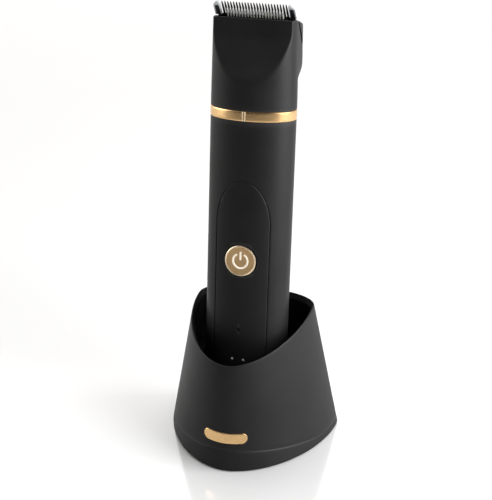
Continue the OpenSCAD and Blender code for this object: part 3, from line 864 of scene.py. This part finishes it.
def bumped(tree, bsdf, height, strength, distance):
    node = add(tree, "ShaderNodeBump")
    node.inputs["Strength"].default_value = strength
    node.inputs["Distance"].default_value = distance
    tree.links.new(height, node.inputs["Height"])
    tree.links.new(node.outputs["Normal"], bsdf.inputs["Normal"])


def worn_edges(tree, low=0.52, high=0.58):
    """0 on flat surfaces, up to 1 on convex edges."""
    geo = add(tree, "ShaderNodeNewGeometry")
    return ranged(tree, geo.outputs["Pointiness"], 0.0, 1.0, low, high)


def plastic(name, dark, light, rough, specular, grain, grain_bump, wear):
    """Moulded or soft-touch plastic: fine grain, cloudy roughness and, with wear, lighter worn edges."""
    mat, tree, bsdf = nodes_of(name)
    where = place(tree)
    cloud = noise(tree, where, 55, 4.0, 0.55)
    fine = noise(tree, where, grain, 2.0, 0.6)
    colour = mixed(tree, ranged(tree, cloud, 0, 1), dark, light)
    if wear:
        colour = mixed(tree, worn_edges(tree), colour, wear)
    tree.links.new(colour, bsdf.inputs["Base Color"])
    tree.links.new(ranged(tree, cloud, rough - 0.04, rough + 0.04), bsdf.inputs["Roughness"])
    bsdf.inputs["Specular IOR Level"].default_value = specular
    bumped(tree, bsdf, fine, grain_bump, 0.00004)
    return mat


def metal(name, dark, light, rough, stretch, turn, scale, bump):
    """Metal with fine brushed lines along one direction."""
    mat, tree, bsdf = nodes_of(name)
    lines = noise(tree, place(tree, stretch, turn), scale, 3.0, 0.6)
    cloud = noise(tree, place(tree), 70, 3.0)
    tree.links.new(mixed(tree, ranged(tree, lines, 0, 1), dark, light), bsdf.inputs["Base Color"])
    tree.links.new(ranged(tree, cloud, rough - 0.04, rough + 0.05), bsdf.inputs["Roughness"])
    bsdf.inputs["Metallic"].default_value = 1.0
    bumped(tree, bsdf, lines, bump, 0.00003)
    return mat


def turned_metal(name, dark, light, rough, centre):
    """Metal with circular turning marks round centre."""
    mat, tree, bsdf = nodes_of(name)
    coord = add(tree, "ShaderNodeTexCoord")
    away = add(tree, "ShaderNodeVectorMath", operation="DISTANCE")
    away.inputs[1].default_value = [c * MM for c in centre]
    tree.links.new(coord.outputs["Object"], away.inputs[0])
    rings = add(tree, "ShaderNodeTexNoise", noise_dimensions="1D")
    rings.inputs["Scale"].default_value = 9000
    rings.inputs["Detail"].default_value = 3.0
    tree.links.new(away.outputs["Value"], rings.inputs["W"])
    cloud = noise(tree, place(tree), 160, 3.0)
    colour = mixed(tree, ranged(tree, rings.outputs["Fac"], 0, 1), dark, light)
    tree.links.new(colour, bsdf.inputs["Base Color"])
    tree.links.new(ranged(tree, cloud, rough - 0.05, rough + 0.05), bsdf.inputs["Roughness"])
    bsdf.inputs["Metallic"].default_value = 1.0
    bumped(tree, bsdf, rings.outputs["Fac"], 0.12, 0.00002)
    return mat


WORN_BLACK = (0.026, 0.026, 0.026)
# dark and light colour, roughness, specular level, the grain's scale and bump, colour of worn edges
PLASTICS = {
    "dock_black": ((0.0065, 0.0065, 0.0067), (0.0088, 0.0088, 0.009), 0.48, 0.17, 2600, 0.25, WORN_BLACK),
    # darker, duller copy of the dock's black for its mouth and cradle: painted shade inside the well
    "well_black": ((0.0025, 0.0025, 0.0025), (0.0035, 0.0035, 0.0035), 0.6, 0.06, 2600, 0.25, None),
    "soft_black": ((0.0065, 0.0065, 0.0067), (0.0088, 0.0088, 0.009), 0.46, 0.17, 2600, 0.25, WORN_BLACK),
    "panel_black": ((0.006, 0.006, 0.0062), (0.008, 0.008, 0.0082), 0.46, 0.155, 2600, 0.25, WORN_BLACK),
    "rubber": ((0.018, 0.018, 0.019), (0.026, 0.026, 0.027), 0.75, 0.2, 1500, 0.4, None),
    "symbol_cream": ((0.86, 0.77, 0.62), (0.92, 0.84, 0.7), 0.35, 0.5, 900, 0.1, None),
    "guard_grey": ((0.36, 0.37, 0.38), (0.44, 0.45, 0.46), 0.32, 0.5, 1800, 0.12, None),
    "cutter_ceramic": ((0.4, 0.4, 0.37), (0.5, 0.5, 0.46), 0.25, 0.6, 1500, 0.08, None),
    "board_green": ((0.01, 0.055, 0.025), (0.016, 0.08, 0.036), 0.4, 0.5, 1200, 0.2, None),
    "battery_wrap": ((0.03, 0.1, 0.2), (0.04, 0.13, 0.26), 0.3, 0.5, 700, 0.1, None),
    "frame_grey": ((0.035, 0.035, 0.038), (0.05, 0.05, 0.054), 0.55, 0.4, 1600, 0.3, None),
    "pom_white": ((0.72, 0.71, 0.67), (0.8, 0.79, 0.75), 0.4, 0.4, 1500, 0.15, None),
    "smoked_lens": ((0.003, 0.003, 0.0035), (0.005, 0.005, 0.006), 0.3, 0.2, 900, 0.02, None),
    "light_pipe": ((0.42, 0.42, 0.4), (0.52, 0.52, 0.5), 0.25, 0.5, 900, 0.05, None),
}
WITH_HANDSET, LEVEL = (-TILT, 0, 0), (0, 0, 0)
# dark and light colour, roughness, then the brushed lines' stretch, turn, scale and bump
METALS = {
    "rose_gold": ((0.72, 0.46, 0.215), (0.82, 0.54, 0.265), 0.25, (1, 1, 16), WITH_HANDSET, 500, 0.1),
    # paler copy of rose_gold for small rounded pieces: its lighter colour is a painted highlight
    "gold_painted_highlight": ((0.9, 0.72, 0.5), (0.98, 0.82, 0.6), 0.38, (1, 1, 8), WITH_HANDSET, 700, 0.05),
    "blade_steel": ((0.018, 0.018, 0.019), (0.04, 0.04, 0.042), 0.32, (18, 1, 1), LEVEL, 600, 0.08),
    "screw_steel": ((0.5, 0.5, 0.51), (0.62, 0.62, 0.63), 0.3, (1, 1, 8), LEVEL, 1500, 0.08),
    "raw_steel": ((0.3, 0.3, 0.31), (0.45, 0.45, 0.46), 0.45, (1, 12, 1), LEVEL, 500, 0.2),
    "contact_gold": ((0.85, 0.6, 0.22), (0.95, 0.72, 0.32), 0.22, (1, 1, 6), LEVEL, 1500, 0.08),
}
MATERIALS = {name: plastic(name, *values) for name, values in PLASTICS.items()}
MATERIALS.update({name: metal(name, *values) for name, values in METALS.items()})
MATERIALS["button_gold"] = turned_metal("button_gold", (0.54, 0.355, 0.175), (0.68, 0.46, 0.235), 0.42,
                                        hand(0, -BODY_B, BUTTON_L))

# the CAD nodes that stay, by the material they take
CAD_NODES = {
    "rubber": ["foot_pad", "cap_seal", "button_seal", "shaft_seal", "head_seal"],
    "screw_steel": ["dock_screws", "usb_inlet", "cap_screws", "tact_switch", "motor_screws", "motor_shaft",
                    "hinge_pin", "blade_screws", "blade_spring"],
    "raw_steel": ["ballast_plate", "motor"],
    "board_green": ["dock_board", "control_board"],
    "frame_grey": ["contact_block", "chassis", "motor_mount"],
    "contact_gold": ["contact_pin_left", "contact_pin_right", "charge_pads"],
    "battery_wrap": ["battery"],
    "pom_white": ["eccentric_cam", "cutter_follower"],
}


def dress_cad_nodes():
    """Procedural materials on the CAD nodes that stay."""
    for look, nodes in CAD_NODES.items():
        for node in nodes:
            obj = frame["nodes"][node]
            if not obj.material_slots:
                obj.data.materials.append(MATERIALS[look])
            for slot in obj.material_slots:
                slot.material = MATERIALS[look]


# ---- stage ----
VIEW_TURN, VIEW_RISE, VIEW_AWAY, VIEW_ROLL = math.radians(16.77), 23.8, 0.53687, math.radians(-0.23)
VIEW_TARGET = Vector((0, 0.0181, 0.090))
LENS, SENSOR, SHIFT_X, SHIFT_Y = 85.1, 36, -0.0179, -0.0127
FLOOR_HALF = 4.0
KEY_WATTS, GOLD_WATTS, FLOOR_WATTS, LEFT_WATTS, FAR_WATTS = 28.5, 7, 12.5, 5.8, 8.5
KEY_COLOUR, LEFT_COLOUR, WORLD_COLOUR = (0.985, 0.99, 1.0), (1.0, 0.985, 0.965), (1.0, 0.99, 0.975, 1)
# the world's strength towards the camera's side and opposite it, with the cosines between which it changes
WORLD_RANGE = (0.02, 1.2, -0.5, 0.35)
# its strength where the camera sees it directly
WORLD_SEEN = 0.92
GOLD_PIECES = ["gold_ring", "ring_index", "gold_pill", "button_disc", "button_bezel"]


def make_floor():
    mesh = bpy.data.meshes.new("floor")
    corners = [(x * FLOOR_HALF, y * FLOOR_HALF, 0) for x, y in ((-1, -1), (1, -1), (1, 1), (-1, 1))]
    mesh.from_pydata(corners, [], [(0, 1, 2, 3)])
    floor = bpy.data.objects.new("floor", mesh)
    bpy.context.scene.collection.objects.link(floor)
    mat, tree, bsdf = nodes_of("floor")
    cloud = noise(tree, place(tree), 3, 2.0)
    tree.links.new(mixed(tree, ranged(tree, cloud, 0, 1), (0.86, 0.86, 0.86), (0.88, 0.88, 0.88)),
                   bsdf.inputs["Base Color"])
    bsdf.inputs["Roughness"].default_value = 0.12
    bsdf.inputs["Specular IOR Level"].default_value = 1.0
    mesh.materials.append(mat)


def area_light(name, place_at, aim, width, height, watts, colour=(1, 1, 1)):
    data = bpy.data.lights.new(name, "AREA")
    data.shape, data.size, data.size_y = "RECTANGLE", width, height
    data.energy, data.color = watts, colour
    obj = bpy.data.objects.new(name, data)
    obj.location = place_at
    obj.rotation_mode = "QUATERNION"
    obj.rotation_quaternion = (Vector(aim) - Vector(place_at)).to_track_quat("-Z", "Y")
    bpy.context.scene.collection.objects.link(obj)
    return obj


def outward(degrees, rise):
    """Direction away from the object, degrees to the right of the camera's side and rise degrees up."""
    a, e = VIEW_TURN + math.radians(degrees), math.radians(rise)
    return Vector((math.sin(a) * math.cos(e), -math.cos(a) * math.cos(e), math.sin(e)))


def around(degrees, rise, away):
    """Point that far from the object's middle."""
    return VIEW_TARGET + outward(degrees, rise) * away


def light_for(light, objects, state):
    """Lets a light reach only these objects, or all but these."""
    group = bpy.data.collections.new(light.name + "_reach")
    for obj in objects:
        group.objects.link(obj)
    light.light_linking.receiver_collection = group
    for member in group.collection_objects:
        member.light_linking.link_state = state


def make_lights():
    """Soft key from the right in three strengths, so that gold and floor don't burn out, and soft fills."""
    gold = [bpy.data.objects[name] for name in GOLD_PIECES]
    floor = [bpy.data.objects["floor"]]
    for name, watts, state, who in (("key_object", KEY_WATTS, "EXCLUDE", gold + floor),
                                    ("key_gold", GOLD_WATTS, "INCLUDE", gold),
                                    ("key_floor", FLOOR_WATTS, "INCLUDE", floor)):
        light = area_light(name, around(67, 25, 0.9), VIEW_TARGET, 0.8, 0.9, watts, KEY_COLOUR)
        light_for(light, who, state)
        light.visible_glossy = who != floor
    left = area_light("left", around(-98, 22, 0.95), VIEW_TARGET, 0.8, 0.8, LEFT_WATTS, LEFT_COLOUR)
    light_for(left, floor, "EXCLUDE")
    behind = around(180, 0, 1.3)
    area_light("far_floor", around(180, 35, 1.9), (behind.x, behind.y, 0), 2.2, 0.8, FAR_WATTS)


def make_world():
    """Pale world, brighter behind the object than on the camera's side, and evenly pale to the camera."""
    world = bpy.data.worlds.new("studio")
    bpy.context.scene.world = world
    world.use_nodes = True
    tree = world.node_tree
    back = tree.nodes["Background"]
    back.inputs["Color"].default_value = WORLD_COLOUR
    coord = add(tree, "ShaderNodeTexCoord")
    toward = add(tree, "ShaderNodeVectorMath", operation="DOT_PRODUCT")
    toward.inputs[1].default_value = (-math.sin(VIEW_TURN), math.cos(VIEW_TURN), 0)
    tree.links.new(coord.outputs["Generated"], toward.inputs[0])
    path = add(tree, "ShaderNodeLightPath")
    seen = add(tree, "ShaderNodeMix", data_type="FLOAT")
    tree.links.new(path.outputs["Is Camera Ray"], seen.inputs["Factor"])
    tree.links.new(ranged(tree, toward.outputs["Value"], *WORLD_RANGE), seen.inputs["A"])
    seen.inputs["B"].default_value = WORLD_SEEN
    tree.links.new(seen.outputs["Result"], back.inputs["Strength"])


def make_camera():
    data = bpy.data.cameras.new("camera")
    cam = bpy.data.objects.new("camera", data)
    bpy.context.scene.collection.objects.link(cam)
    out = outward(0, VIEW_RISE)
    cam.location = VIEW_TARGET + out * VIEW_AWAY
    cam.rotation_mode = "QUATERNION"
    roll = Matrix.Rotation(VIEW_ROLL, 3, "Z").to_quaternion()
    cam.rotation_quaternion = (-out).to_track_quat("-Z", "Y") @ roll
    data.sensor_width, data.lens = SENSOR, LENS
    data.shift_x, data.shift_y = SHIFT_X, SHIFT_Y
    data.clip_start, data.clip_end = 0.01, 20
    bpy.context.scene.camera = cam


make_dock_body()
make_dock_liner()
make_dock_skirt()
make_gold_pill()
make_well()
make_handle_body()
make_panel()
make_end_cap()
make_gold_ring()
make_ring_index()
make_head_body()
make_rear_cover()
make_comb()
make_cutter()
make_guard(1, "end_guard_right", ["blade_guards"])
make_guard(-1, "end_guard_left", [])
make_button()
make_symbol()
make_dome("indicator_dot", 0, LENS_L, 0.8, -BODY_B + 0.06, "smoked_lens", ["indicator_lens"])
make_dome("charge_light_right", LIGHTS_X, LIGHTS_L, 0.6, -BODY_B + 0.1, "light_pipe", ["status_lights"])
make_dome("charge_light_left", -LIGHTS_X, LIGHTS_L, 0.6, -BODY_B + 0.1, "light_pipe", [])
dress_cad_nodes()
make_floor()
make_lights()
make_world()
make_camera()
bpy.context.scene.view_settings.view_transform = "Standard"
